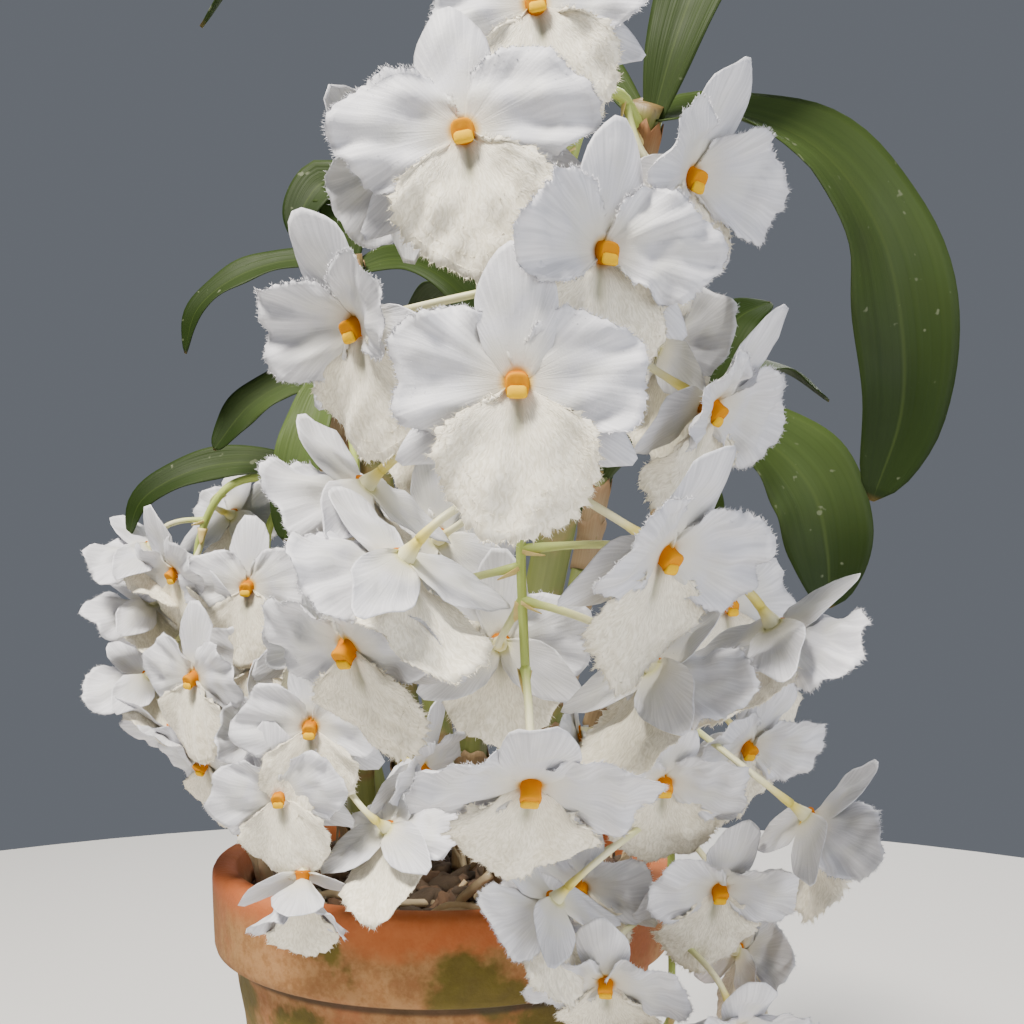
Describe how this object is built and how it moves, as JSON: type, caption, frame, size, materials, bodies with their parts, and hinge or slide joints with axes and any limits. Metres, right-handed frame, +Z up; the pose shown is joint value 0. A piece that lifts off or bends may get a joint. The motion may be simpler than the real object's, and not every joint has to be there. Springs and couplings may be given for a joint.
{
  "type": "potted dendrobium farmeri",
  "caption": "Orchid in a clay pot: leafy canes rise from the potting mix, and flower stalks arch over and hang, thick with fringed white blooms that each have an orange and yellow centre.",
  "frame": {"origin": "middle of the pot's foot, on the face that it rests on", "axes": "+Z up along the pot's axis; the front flower stalk hangs towards -Y, and +X is the right-hand side as seen from there"},
  "size_m": [0.2585, 0.346, 0.4371],
  "materials": {
    "terracotta": "matte",
    "bark": "matte",
    "leaf": "satin",
    "stalk": "satin",
    "bloom": "matte"
  },
  "bodies": {
    "root": {"pot": "terracotta", "potting_mix": "bark", "cane_front": "leaf", "cane_upper_left": "leaf", "cane_right": "leaf", "cane_left": "leaf", "cane_low_left": "leaf", "cane_centre": "leaf", "cane_back_left": "leaf", "cane_back_right": "leaf", "cane_old": "leaf", "stalk_front": "stalk", "bloom_front_01": "bloom", "bloom_front_02": "bloom", "bloom_front_03": "bloom", "bloom_front_04": "bloom", "bloom_front_05": "bloom", "bloom_front_06": "bloom", "bloom_front_07": "bloom", "bloom_front_08": "bloom", "bloom_front_09": "bloom", "bloom_front_10": "bloom", "bloom_front_11": "bloom", "bloom_front_12": "bloom", "bloom_front_13": "bloom", "bloom_front_14": "bloom", "bloom_front_15": "bloom", "bloom_front_16": "bloom", "bloom_front_17": "bloom", "bloom_front_18": "bloom", "bloom_front_19": "bloom", "stalk_right": "stalk", "bloom_right_01": "bloom", "bloom_right_02": "bloom", "bloom_right_03": "bloom", "bloom_right_04": "bloom", "bloom_right_05": "bloom", "bloom_right_06": "bloom", "bloom_right_07": "bloom", "bloom_right_08": "bloom", "bloom_right_09": "bloom", "bloom_right_10": "bloom", "bloom_right_11": "bloom", "bloom_right_12": "bloom", "bloom_right_13": "bloom", "spray_far_left": "bloom", "spray_mid_left": "bloom", "spray_near_left": "bloom"}
  },
  "joints": []
}
